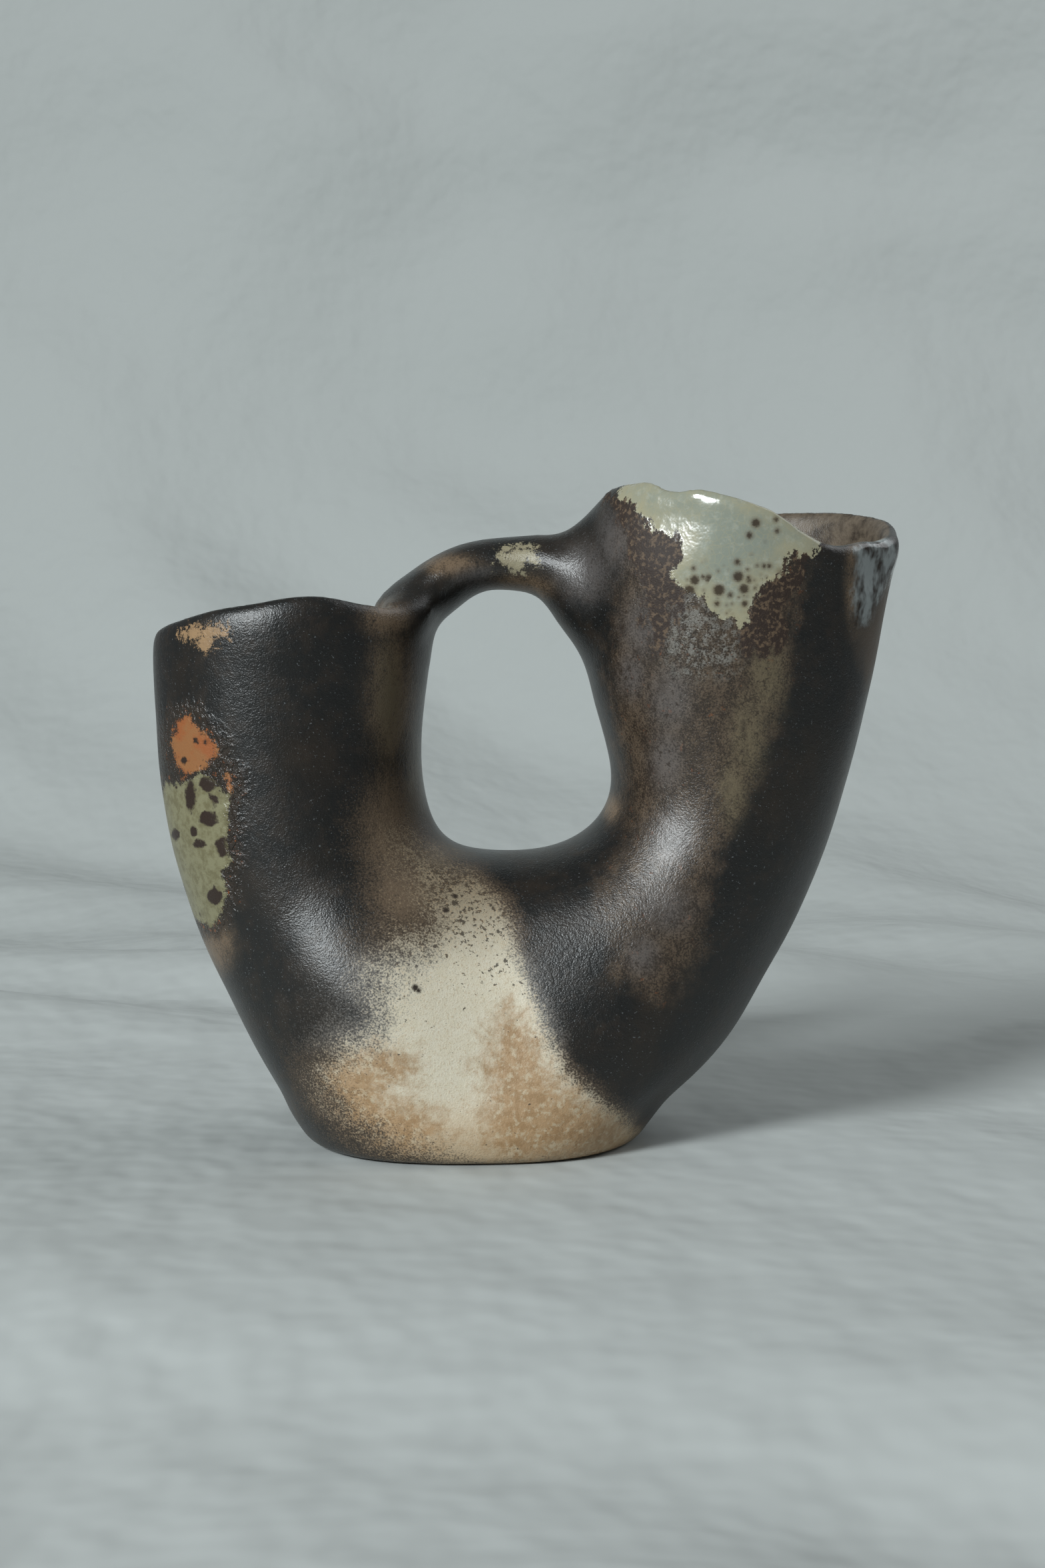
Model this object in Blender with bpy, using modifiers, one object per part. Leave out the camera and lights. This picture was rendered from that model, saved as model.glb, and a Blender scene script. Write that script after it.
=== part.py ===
"""Two-necked stoneware vase, hand-built from a base slab, courses of clay and a bridge handle.

Metres, +Z up. The origin is the centre of the foot on the surface that the vase stands on, and the
two necks lie side by side along X. Each course is its own piece of clay, and the thin gap between
two pieces is the line of slip that joins them.
"""

import math
from collections import namedtuple

import bmesh
import bpy
from mathutils import Matrix, Vector

# Clay thicknesses and joints
WALL = 0.0050
SLAB_THICKNESS = 0.0070
SLAB_EDGE_ROUND = 0.0025
JOINT_GAP = 0.0003

# The whole form, from the centre of the foot: how far each neck stands out to its side, and how high the
# outer edge of each lip is before it is pinched
LEFT_REACH = 0.0812
RIGHT_REACH = 0.1080
LEFT_HEIGHT = 0.1310
RIGHT_HEIGHT = 0.1540

# How much higher each lip is on the side that faces the other neck
LEFT_LIP_SLOPE = 0.0050
RIGHT_LIP_SLOPE = 0.0080

# The foot, where the slab meets the table: its size, and how much deeper it is between the two limbs
FOOT_WIDTH = 0.0850
FOOT_DEPTH = 0.0800
FOOT_CROWN = 0.0060

# A section across a limb, given where it shows from the front: its outer edge and the edge that faces
# the other limb, each as (x, z), and its depth from front to back.
Section = namedtuple("Section", "outer inner depth")

# The waist between the two limbs of one belly section: its x, its z and its depth.
Waist = namedtuple("Waist", "x z depth")

# A pinch of a lip: its place round the mouth in degrees, from the side facing the other neck and by the
# back, half its width in degrees, and how far it lifts the lip and pushes it outwards.
Pinch = namedtuple("Pinch", "place spread lift reach")

# A section of the bridge handle: the x and y of its middle, the share of the way up from the left lip to the
# right one at which it lies and its lift above that, and how high and how deep the strap is there.
Strap = namedtuple("Strap", "x y share lift height depth")

# The belly, from the foot up to the shoulder where the limbs part
LEFT_BELLY = [
    Section((-FOOT_WIDTH / 2, 0.0000), (0.0185, 0.0000), FOOT_DEPTH),
    Section((-0.0452, SLAB_THICKNESS), (0.0170, SLAB_THICKNESS), 0.0800),
    Section((-0.0550, 0.0220), (0.0170, 0.0220), 0.0810),
    Section((-0.0640, 0.0400), (0.0080, 0.0440), 0.0760),
    Section((-0.0720, 0.0570), (-0.0080, 0.0730), 0.0690),
]
RIGHT_BELLY = [
    Section((FOOT_WIDTH / 2, 0.0000), (-0.0185, 0.0000), FOOT_DEPTH),
    Section((0.0448, SLAB_THICKNESS), (-0.0170, SLAB_THICKNESS), 0.0790),
    Section((0.0635, 0.0200), (-0.0120, 0.0260), 0.0780),
    Section((0.0745, 0.0400), (0.0060, 0.0560), 0.0700),
    Section((0.0845, 0.0560), (0.0275, 0.0740), 0.0630),
]
WAISTS = [
    Waist(0.0000, 0.0000, FOOT_DEPTH + FOOT_CROWN),
    Waist(0.0005, SLAB_THICKNESS, 0.0870),
    Waist(0.0030, 0.0230, 0.0790),
    Waist(0.0070, 0.0440, 0.0640),
    Waist(0.0090, 0.0590, 0.0520),
]

# A section of a neck: how far its outer edge stands in from the reach, the x of the edge that faces the
# other neck, the share of the way up from shoulder to lip of each of the two, and its depth.
Rise = namedtuple("Rise", "inset inner_x outer_share inner_share depth")

# The necks above the shoulder, up to the lips
LEFT_RISES = [
    Rise(0.0027, -0.0130, 0.31, 0.27, 0.0670),
    Rise(0.0010, -0.0130, 0.61, 0.52, 0.0670),
    Rise(0.0000, -0.0090, 0.88, 0.84, 0.0690),
    Rise(0.0004, -0.0090, 1.00, 1.00, 0.0690),
]
RIGHT_RISES = [
    Rise(0.0150, 0.0385, 0.24, 0.16, 0.0610),
    Rise(0.0080, 0.0330, 0.48, 0.36, 0.0640),
    Rise(0.0040, 0.0270, 0.71, 0.58, 0.0690),
    Rise(0.0000, 0.0260, 0.91, 0.84, 0.0730),
    Rise(0.0005, 0.0320, 1.00, 1.00, 0.0720),
]

# How the lips are pinched
LEFT_PINCHES = [
    Pinch(10, 42, 0.0060, 0.0),
    Pinch(265, 65, 0.0035, 0.0),
    Pinch(180, 50, -0.0020, 0.0),
    Pinch(318, 34, -0.0020, 0.0),
]
RIGHT_PINCHES = [
    Pinch(325, 60, 0.0065, 0.0),
    Pinch(264, 42, 0.0062, 0.0),
    Pinch(234, 46, -0.0100, 0.0),
    Pinch(130, 75, 0.0075, 0.0),
    Pinch(180, 40, 0.0020, 0.0030),
]

# The crest of the saddle between the limbs: its x, its height in the middle and nearer the front and back
SADDLE_X = 0.0100
SADDLE_HEIGHT = 0.0740
SADDLE_SHOULDER = 0.0700

# The bridge handle, from the inside of the left neck, over its lip and across into the right neck's wall
BRIDGE = [
    Strap(-0.0150, 0.0030, 0.0, -0.0100, 0.0080, 0.0220),
    Strap(-0.0200, 0.0030, 0.0, 0.0015, 0.0190, 0.0400),
    Strap(-0.0120, 0.0030, 0.1, 0.0042, 0.0160, 0.0340),
    Strap(-0.0010, 0.0030, 0.3, 0.0081, 0.0130, 0.0230),
    Strap(0.0100, 0.0020, 0.5, 0.0040, 0.0140, 0.0185),
    Strap(0.0205, 0.0010, 0.7, -0.0008, 0.0155, 0.0210),
    Strap(0.0292, 0.0000, 0.9, -0.0102, 0.0290, 0.0300),
    Strap(0.0380, 0.0000, 1.0, -0.0155, 0.0450, 0.0420),
]

# How far above the right mouth the space inside it is kept clear of the bridge
MOUTH_CLEARANCE = 0.0200

# How finely the clay is rounded: points round a neck, edges of it that face the saddle, points round the
# bridge, steps of smoothing, and steps round the slab's edge.
RING = 10
SADDLE_EDGES = 4
BRIDGE_RING = 8
SMOOTHING = 2
EDGE_STEPS = 3

# Angles, in degrees: where the belly's outer points start at the foot, and what counts as a sharp edge
FOOT_OPENING = 95
SHARP = 40

# The shape of a rounded edge, as a quarter circle
ROUND_PROFILE = 0.5

# The pieces of clay in each limb, from the slab up
BELLY_COURSES = ["slab_seat", "foot_course", "belly_course", "shoulder_course"]
LEFT_COURSES = ["left_neck_lower", "left_neck_middle", "left_neck_upper", "left_lip"]
RIGHT_COURSES = ["right_neck_lower", "right_neck_middle", "right_neck_upper", "right_shoulder", "right_lip"]
COURSES = BELLY_COURSES + ["saddle"] + LEFT_COURSES + RIGHT_COURSES

# Base colour and roughness of the clay, by piece
SMOKED = ((0.035, 0.028, 0.024), 0.42)
FLAMED = ((0.42, 0.30, 0.20), 0.62)
ASHED = ((0.30, 0.31, 0.24), 0.30)
BARE = ((0.30, 0.19, 0.12), 0.75)
FINISHES = {
    "base_slab": BARE,
    "foot_course": FLAMED,
    "belly_course": FLAMED,
    "right_lip": ASHED,
}


def rounding(points):
    """How much larger a ring of cage points is than the smooth loop that it settles to."""
    return 3 / (2 + math.cos(2 * math.pi / points))


def section_point(section, angle, pinches=()):
    """A cage point of a limb's section; angle 0 faces the other limb and 90 degrees is the back."""
    outer = Vector((section.outer[0], 0, section.outer[1]))
    inner = Vector((section.inner[0], 0, section.inner[1]))
    swell = rounding(RING)
    across = (inner - outer) / 2 * math.cos(angle)
    back = Vector((0, section.depth / 2 * math.sin(angle), 0))
    offset = (across + back) * swell
    point = (outer + inner) / 2 + offset
    for pinch in pinches:
        share = pinch_share(pinch, angle)
        point += offset.normalized() * pinch.reach * share
        point.z += pinch.lift * share
    return point


def pinch_share(pinch, angle):
    """How much of a pinch is felt at an angle round the mouth, from 0 to 1."""
    away = (math.degrees(angle) - pinch.place + 180) % 360 - 180
    if abs(away) >= pinch.spread:
        return 0.0
    return 0.5 + 0.5 * math.cos(math.pi * away / pinch.spread)


def between(low, high, share):
    """A share of the way from one value to another."""
    return low + (high - low) * share


def neck_sections(shoulder, rises, side, reach, height, slope):
    """The sections of a neck, from the shoulder to its lip; side is -1 on the left and 1 on the right."""
    sections = []
    for rise in rises:
        outer = (side * (reach - rise.inset), between(shoulder.outer[1], height, rise.outer_share))
        inner = (rise.inner_x, between(shoulder.inner[1], height + slope, rise.inner_share))
        sections.append(Section(outer, inner, rise.depth))
    return sections


def left_neck():
    """The sections of the upright neck on the left."""
    return neck_sections(LEFT_BELLY[-1], LEFT_RISES, -1, LEFT_REACH, LEFT_HEIGHT, LEFT_LIP_SLOPE)


def right_neck():
    """The sections of the leaning neck on the right."""
    return neck_sections(RIGHT_BELLY[-1], RIGHT_RISES, 1, RIGHT_REACH, RIGHT_HEIGHT, RIGHT_LIP_SLOPE)


def outer_angles(step, steps):
    """The angles of a belly section's outer points, which draw together towards the foot."""
    open_at_shoulder = math.pi * SADDLE_EDGES / RING
    open_at_foot = math.radians(FOOT_OPENING)
    start = between(open_at_foot, open_at_shoulder, step / (steps - 1))
    edges = RING - SADDLE_EDGES
    return [start + (2 * math.pi - 2 * start) * k / edges for k in range(edges + 1)]


def neck_angles():
    """The angles round a whole neck, starting at the first outer point of the shoulder."""
    first = SADDLE_EDGES // 2
    return [2 * math.pi * (first + k) / RING for k in range(RING)]


def skin(bm, lower, upper, course, closed):
    """Quads between two rows of cage points, marked as one course."""
    count = len(lower)
    last = count if closed else count - 1
    for k in range(last):
        n = (k + 1) % count
        face = bm.faces.new((lower[k], lower[n], upper[n], upper[k]))
        face.material_index = course


def saddle_crest():
    """Points along the crest of the saddle, from back to front; the outer two are halfway to the waist."""
    half_way = WAISTS[-1].depth / 2 / 2
    back = (SADDLE_X, half_way, SADDLE_SHOULDER)
    middle = (SADDLE_X, 0, SADDLE_HEIGHT)
    front = (SADDLE_X, -half_way, SADDLE_SHOULDER)
    return [back, middle, front]


def vase_cage():
    """The coarse outer surface of the vase: a belly that parts over a saddle into two necks."""
    bm = bmesh.new()

    def place(points):
        return [bm.verts.new(point) for point in points]

    steps = len(WAISTS)
    rings = []
    for step in range(steps):
        angles = outer_angles(step, steps)
        left = place(section_point(LEFT_BELLY[step], angle) for angle in angles)
        right = place(section_point(RIGHT_BELLY[step], angle) for angle in reversed(angles))
        waist = WAISTS[step]
        front, back = place((waist.x, side * waist.depth / 2, waist.z) for side in (-1, 1))
        rings.append(left + [front] + right + [back])
    for course in range(steps - 1):
        skin(bm, rings[course], rings[course + 1], course, closed=True)

    outer = RING - SADDLE_EDGES + 1
    left_outer, front = rings[-1][:outer], rings[-1][outer]
    right_outer, back = rings[-1][outer + 1:-1][::-1], rings[-1][-1]
    inner = neck_angles()[outer:]
    left_inner = place(section_point(LEFT_BELLY[-1], angle) for angle in inner)
    right_inner = place(section_point(RIGHT_BELLY[-1], angle) for angle in inner)
    crest = [back] + place(saddle_crest()) + [front]
    left_side = [left_outer[-1]] + left_inner + [left_outer[0]]
    right_side = [right_outer[-1]] + right_inner + [right_outer[0]]
    saddle = COURSES.index("saddle")
    skin(bm, left_side, crest[::-1], saddle, closed=False)
    skin(bm, crest[::-1], right_side, saddle, closed=False)

    grow_neck(bm, left_outer + left_inner, left_neck(), LEFT_PINCHES, LEFT_COURSES)
    grow_neck(bm, right_outer + right_inner, right_neck(), RIGHT_PINCHES, RIGHT_COURSES)
    bmesh.ops.recalc_face_normals(bm, faces=bm.faces)
    return bm


def grow_neck(bm, ring, sections, pinches, courses):
    """Courses of one neck on top of its ring of the shoulder; the last section is the pinched lip."""
    for section, course in zip(sections, courses):
        marks = pinches if section is sections[-1] else ()
        above = [bm.verts.new(section_point(section, angle, marks)) for angle in neck_angles()]
        skin(bm, ring, above, COURSES.index(course), closed=True)
        ring = above


def new_object(name, mesh, collection):
    """An object of its own in a collection."""
    thing = bpy.data.objects.new(name, mesh)
    collection.objects.link(thing)
    return thing


def mesh_from(bm, name):
    """A mesh made of a bmesh, which is used up."""
    mesh = bpy.data.meshes.new(name)
    bm.to_mesh(mesh)
    bm.free()
    return mesh


def smoothed(thing):
    """The object's mesh with its modifiers carried out; the object itself is removed."""
    depsgraph = bpy.context.evaluated_depsgraph_get()
    depsgraph.update()
    mesh = bpy.data.meshes.new_from_object(thing.evaluated_get(depsgraph))
    bpy.data.objects.remove(thing)
    return mesh


def add_smoothing(thing):
    """Rounds a coarse cage into soft clay."""
    modifier = thing.modifiers.new("rounded", "SUBSURF")
    modifier.levels = SMOOTHING
    modifier.render_levels = SMOOTHING


def clay_shell(cage, collection):
    """The whole vase as one shell of even wall, whose faces still say which course they are in."""
    shell = new_object("shell", cage, collection)
    wall = shell.modifiers.new("wall", "SOLIDIFY")
    wall.thickness = WALL * rounding(RING)
    wall.offset = -1
    wall.use_even_offset = True
    wall.use_quality_normals = True
    add_smoothing(shell)
    return smoothed(shell)


def edge_loops(edges):
    """Groups of connected edges."""
    left = set(edges)
    loops = []
    while left:
        loop = [left.pop()]
        reached = list(loop[0].verts)
        while reached:
            for edge in reached.pop().link_edges:
                if edge in left:
                    left.remove(edge)
                    loop.append(edge)
                    reached.extend(edge.verts)
        loops.append(loop)
    return loops


def loop_middle(loop):
    """The middle of a loop of edges."""
    total = sum((vert.co for edge in loop for vert in edge.verts), Vector())
    return total / (2 * len(loop))


def take_course(shell, index):
    """One course cut out of the shell, its joint faces open."""
    bm = bmesh.new()
    bm.from_mesh(shell)
    others = [face for face in bm.faces if face.material_index != index]
    bmesh.ops.delete(bm, geom=others, context="FACES")
    for face in bm.faces:
        face.material_index = 0
    return bm


def open_gap(bm):
    """Draws each open edge back into its course by half the joint."""
    moves = []
    for vert in bm.verts:
        if vert.is_boundary:
            inside = [edge for edge in vert.link_edges if not edge.is_boundary]
            direction = sum((edge.other_vert(vert).co - vert.co for edge in inside), Vector())
            moves.append((vert, direction.normalized() * JOINT_GAP / 2))
    for vert, move in moves:
        vert.co += move


def close_joints(bm):
    """Joins the outer and inner edge of each joint with a flat of clay."""
    loops = edge_loops([edge for edge in bm.edges if edge.is_boundary])
    while loops:
        loop = loops.pop()
        middle = loop_middle(loop)
        partner = min(loops, key=lambda other: (loop_middle(other) - middle).length)
        loops.remove(partner)
        flat = bmesh.ops.bridge_loops(bm, edges=loop + partner)["faces"]
        bmesh.ops.triangulate(bm, faces=flat, quad_method="SHORT_EDGE")
    bmesh.ops.recalc_face_normals(bm, faces=bm.faces)


def seat_flat(bm, height):
    """Levels the lowest joint of a course at a height, so that it sits on the slab."""
    loops = edge_loops([edge for edge in bm.edges if edge.is_boundary])
    loops.sort(key=lambda loop: loop_middle(loop).z)
    for loop in loops[:2]:
        for edge in loop:
            for vert in edge.verts:
                vert.co.z = height


def seat_outline(bm):
    """The outer edge of a course's lowest joint, in order round the foot."""
    loops = edge_loops([edge for edge in bm.edges if edge.is_boundary])
    loops.sort(key=lambda loop: loop_middle(loop).z)
    lengths = [sum(edge.calc_length() for edge in loop) for loop in loops[:2]]
    outer = loops[lengths.index(max(lengths))]
    points = {vert.index: vert.co.copy() for edge in outer for vert in edge.verts}
    return sorted(points.values(), key=lambda point: math.atan2(point.y, point.x))


def base_slab(outline, collection):
    """The slab under the walls: flush with them above, drawn in to the foot below, its edge rounded."""
    widest = max(point.x for point in outline) - min(point.x for point in outline)
    deepest = max(point.y for point in outline) - min(point.y for point in outline)
    bm = bmesh.new()
    top = [bm.verts.new((point.x, point.y, SLAB_THICKNESS)) for point in outline]
    foot = [bm.verts.new((p.x * FOOT_WIDTH / widest, p.y * FOOT_DEPTH / deepest, 0)) for p in outline]
    skin(bm, foot, top, 0, closed=True)
    bm.faces.new(top)
    bottom = bm.faces.new(foot[::-1])
    rim = list(bottom.edges)
    bmesh.ops.recalc_face_normals(bm, faces=bm.faces)
    bmesh.ops.bevel(
        bm,
        geom=rim,
        offset=SLAB_EDGE_ROUND,
        segments=EDGE_STEPS,
        profile=ROUND_PROFILE,
        affect="EDGES",
    )
    return new_object("base_slab", mesh_from(bm, "base_slab"), collection)


def strap_middle(strap):
    """The middle of a section of the bridge."""
    return Vector((strap.x, strap.y, between(LEFT_HEIGHT, RIGHT_HEIGHT, strap.share) + strap.lift))


def bridge_cage():
    """The coarse strap of the bridge: rings square to its run, closed at both ends."""
    bm = bmesh.new()
    swell = rounding(BRIDGE_RING)
    middles = [strap_middle(strap) for strap in BRIDGE]
    rings = []
    for k, strap in enumerate(BRIDGE):
        run = middles[min(k + 1, len(BRIDGE) - 1)] - middles[max(k - 1, 0)]
        up = run.cross(Vector((0, 1, 0))).normalized()
        across = up.cross(run).normalized()
        ring = []
        for n in range(BRIDGE_RING):
            angle = 2 * math.pi * n / BRIDGE_RING
            sideways = across * strap.depth / 2 * math.cos(angle)
            upwards = up * strap.height / 2 * math.sin(angle)
            ring.append(bm.verts.new(middles[k] + (sideways + upwards) * swell))
        rings.append(ring)
    for lower, upper in zip(rings, rings[1:]):
        skin(bm, lower, upper, 0, closed=True)
    bm.faces.new(rings[0])
    bm.faces.new(rings[-1])
    bmesh.ops.recalc_face_normals(bm, faces=bm.faces)
    return bm


def neck_filling(sections):
    """A coarse plug that fills a neck to the middle of its walls and stands out of its mouth."""
    bm = bmesh.new()
    slim = [slimmer(section, WALL, 0) for section in sections]
    slim.append(slimmer(sections[-1], WALL, MOUTH_CLEARANCE))
    rings = []
    for section in slim:
        rings.append([bm.verts.new(section_point(section, angle)) for angle in neck_angles()])
    for lower, upper in zip(rings, rings[1:]):
        skin(bm, lower, upper, 0, closed=True)
    bm.faces.new(rings[0])
    bm.faces.new(rings[-1])
    bmesh.ops.recalc_face_normals(bm, faces=bm.faces)
    return bm


def slimmer(section, less, lift):
    """A section that is narrower and shallower, about the same middle or straight above it."""
    outer, inner = Vector(section.outer), Vector(section.inner)
    trim = (inner - outer).normalized() * less / 2
    above = Vector((0, lift))
    return Section(outer + trim + above, inner - trim + above, section.depth - less)


def cutter_object(name, mesh, collection):
    """A cutter, which shows only as its wires."""
    cutter = new_object(name, mesh, collection)
    cutter.display_type = "WIRE"
    cutter.hide_render = True
    return cutter


def seat_cutters(shell, collection):
    """What the bridge makes way for: the right neck's hollow, and the walls with the joint round them."""
    plug = mesh_from(neck_filling(right_neck()), "right_hollow_cutter")
    hollow = cutter_object("right_hollow_cutter", plug, collection)
    add_smoothing(hollow)
    walls = cutter_object("wall_cutter", shell, collection)
    gap = walls.modifiers.new("joint", "DISPLACE")
    gap.strength = JOINT_GAP
    gap.mid_level = 0
    return [hollow, walls]


def bridge_handle(cutters, collection):
    """The bridge between the necks, cut to seat on their outsides."""
    strap = new_object("strap", mesh_from(bridge_cage(), "strap"), collection)
    add_smoothing(strap)
    handle = new_object("bridge_handle", smoothed(strap), collection)
    for cutter in cutters:
        seats = handle.modifiers.new(cutter.name, "BOOLEAN")
        seats.operation = "DIFFERENCE"
        seats.object = cutter
    return handle


def clay_material(name):
    """The fired clay of one piece."""
    colour, roughness = FINISHES.get(name, SMOKED)
    material = bpy.data.materials.new(name + "_clay")
    material.use_nodes = True
    shader = material.node_tree.nodes["Principled BSDF"]
    shader.inputs["Base Color"].default_value = (*colour, 1)
    shader.inputs["Roughness"].default_value = roughness
    shader.inputs["Metallic"].default_value = 0
    material.diffuse_color = (*colour, 1)
    return material


def finish(piece, vase):
    """Puts a piece's origin in its own middle, and gives it its clay and its place under the vase."""
    mesh = piece.data
    corners = [Vector(corner) for corner in piece.bound_box]
    middle = (corners[0] + corners[6]) / 2
    mesh.transform(Matrix.Translation(-middle))
    piece.location = middle
    piece.parent = vase
    mesh.materials.clear()
    mesh.materials.append(clay_material(piece.name))
    mesh.shade_smooth()
    mesh.set_sharp_from_angle(angle=math.radians(SHARP))


def new_collection(name):
    """A collection in the scene."""
    collection = bpy.data.collections.new(name)
    bpy.context.scene.collection.children.link(collection)
    return collection


def main():
    for thing in list(bpy.data.objects):
        bpy.data.objects.remove(thing)
    parts = new_collection("two_necked_vase")
    cutters = new_collection("cutters")
    vase = new_object("vase", None, parts)

    cage = mesh_from(vase_cage(), "cage")
    shell = clay_shell(cage, parts)
    pieces = []
    for index, name in enumerate(COURSES):
        if name == "slab_seat":
            continue
        bm = take_course(shell, index)
        open_gap(bm)
        if name == "foot_course":
            seat_flat(bm, SLAB_THICKNESS + JOINT_GAP)
            pieces.append(base_slab(seat_outline(bm), parts))
        close_joints(bm)
        pieces.append(new_object(name, mesh_from(bm, name), parts))

    pieces.append(bridge_handle(seat_cutters(shell, cutters), parts))
    bpy.context.view_layer.update()
    for piece in pieces:
        finish(piece, vase)


main()
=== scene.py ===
"""The fired look of the two-necked stoneware vase.

Metres, +Z up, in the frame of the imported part. The pieces of clay become one fired body: their joints are
welded, the bridge is smeared into both necks, and the skin carries smoke, flame marks and ash glaze.
"""

import math
from collections import namedtuple

import bmesh
import bpy
import numpy as np
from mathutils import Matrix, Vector, noise
from mathutils.bvhtree import BVHTree
from mathutils.kdtree import KDTree


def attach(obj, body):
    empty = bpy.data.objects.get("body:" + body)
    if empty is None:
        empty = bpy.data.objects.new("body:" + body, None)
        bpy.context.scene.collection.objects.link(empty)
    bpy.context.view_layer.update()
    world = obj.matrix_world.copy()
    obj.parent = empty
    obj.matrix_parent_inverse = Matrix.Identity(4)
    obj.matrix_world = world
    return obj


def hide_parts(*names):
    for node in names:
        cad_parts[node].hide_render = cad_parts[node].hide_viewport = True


MM = 0.001

# Welding the clay: how near a joint's two faces and its two edges lie, how near the split corners of one
# piece lie, and how far the bridge is pushed in
JOINT_REACH = 0.00045
WELD_REACH = 0.0006
CORNER_REACH = 0.000001
BRIDGE_SINK = 0.0015

# How squarely the two faces of a joint look at each other, and the slab's top looks up, as cosines
FACE_TO_FACE = -0.7
FACE_UP = 0.9

# How far two triangles that make one quad may be bent against each other, and how skewed the quad may be
FLAT_QUAD = math.radians(12)
SKEWED_QUAD = math.radians(80)

# The fired skin: how often the clay is rounded first, its grid, the rounds of smoothing each time that it is
# laid on the clay, and the rounds and the reach where the bridge is smeared on
ROUND_LEVELS = 2
SKIN_GRID = 0.00148
SMOOTH_ROUNDS = (20, 20, 20, 20, 12)
SMEAR_ROUNDS = 30
SMEAR_REACH = 0.0075

# A round of smoothing: how far a point is drawn to its neighbours, and how far it is then pushed back
DRAW_IN = 0.5
PUSH_OUT = -0.52

# A rim is narrow, so its skin is finer: where it runs along x and above which height, in mm
Rim = namedtuple("Rim", "start end height")
RIMS = [
    Rim(-95, -18, 127),
    Rim(42, 115, 147),
]

# The unevenness of hand-built clay: how wide and how deep its swells are
SWELL_WIDTH = 0.018
SWELL_DEPTH = 0.00035

# The camera of the photograph: its place, how many degrees it looks down, its lens and film, and how near it
# still sees
CAMERA_AT = (0.0132, -0.558, 0.120)
CAMERA_PITCH = 3.08
LENS_MM = 50
FILM_MM = 36
NEAR_CLIP = 0.01

# A soft light: where it is, what it faces, the side of its square, its power in watts and its colour
Lamp = namedtuple("Lamp", "at target size power colour")
WINDOW = Lamp((-1.22, -1.56, 1.06), (0.01, 0, 0.08), 0.60, 52, (0.92, 0.98, 1.0))
FILL = Lamp((0.9, 0.35, 0.9), (0.15, 0.1, 0), 1.0, 4.5, (0.95, 0.98, 1))

# The weak light that the room throws back from all sides
ROOM_COLOUR = (0.64, 0.69, 0.70, 1)
ROOM_STRENGTH = 0.24

# The cloth: its edges, its bend behind the vase, its folds, which leave it flat under the vase, its crinkles
# and its roughness
CLOTH_WIDTH = 1.1
CLOTH_FRONT = -0.45
CLOTH_BEND = 0.45
CLOTH_ROUND = 0.45
CLOTH_TOP = 1.1
CLOTH_STEPS = 60
FOLD_WIDTH = 0.13
FOLD_DEPTH = 0.018
FLAT_CLOTH = 0.30
CRINKLE = 0.022
CRINKLE_DEPTH = 0.0032
CLOTH_ROUGHNESS = 0.9

# A pat of clay that is smeared over a seat of the bridge: its middle and its half sizes, in mm, and how
# often its ball is divided
Pat = namedtuple("Pat", "at size")
PAT_LEVELS = 3
PATS = [
    Pat((-15, -14, 134), (8, 6, 4)),
    Pat((30, -1, 153), (5, 9, 5)),
]

# A touch of the maker's hand: where it presses, in mm, how wide it is felt and how far it moves the clay
Push = namedtuple("Push", "at width move")
PUSHES = [
    Push((-20, -38, 41), 34, (0, -3.8, 0)),
    Push((-38, -31, 136), 16, (0, 0, 1.3)),
    Push((50, -27, 164), 8, (0, 0, -1.6)),
    Push((50, -27, 167), 12, (0, -1.4, 0)),
    Push((60, -32, 166), 13, (0, -1.6, 0)),
    Push((71, -34, 163), 14, (0, -2.55, 0)),
    Push((51, -28, 153.5), 12.5, (0, 1.1, 0)),
    Push((82, -31, 158), 13, (0, -1.4, 0)),
    Push((85, -30, 153), 16, (0, 0, -3.4)),
    Push((98, -21, 144), 8, (-0.4, 1.4, 0)),
    Push((105, -10, 149), 9, (0.8, -1.2, 0.3)),
]

# A stroke of a wet finger, which smooths the clay: its middle and width in mm, and how often it is repeated
Stroke = namedtuple("Stroke", "at width rounds")
STROKES = [
    Stroke((-10, -16, 134), 10, 46),
    Stroke((-25, -15, 134), 9, 33),
    Stroke((29, 0, 122), 12, 40),
]

# How the marks fade round the sides: where that begins, in mm along y, how fast the depth inside a mark is
# lost, first evenly and then faster, and where the soft blooms begin and end to fade
SIDE_START = -6
SIDE_FADE = 0.45
SIDE_BEND = 0.015
BLOOM_START = -10
BLOOM_END = 20

# A depth that lies outside every mark, in mm
FAR = 30

# How softly the flame patch fades, in mm: everywhere, more to its left, and more still high up there; and
# between which x and z the left and the upper part begin
FLAME_SOFT = 3.5
FLAME_SOFT_LEFT = 5
FLAME_SOFT_HIGH = 4.5
FLAME_LEFT = (4, -10)
FLAME_HIGH = (28, 38)

# The cosines between which an outer wall turns into an inner one
OUTER_WALL = 0.05
INNER_WALL = -0.15

# The marks of the fire are drawn on the front view, as the camera sees the vase: x and z in mm on the plane
# through the centre of the foot. An outline is a closed line, and a blob a soft ellipse.
Blob = namedtuple("Blob", "x z width height")

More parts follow.
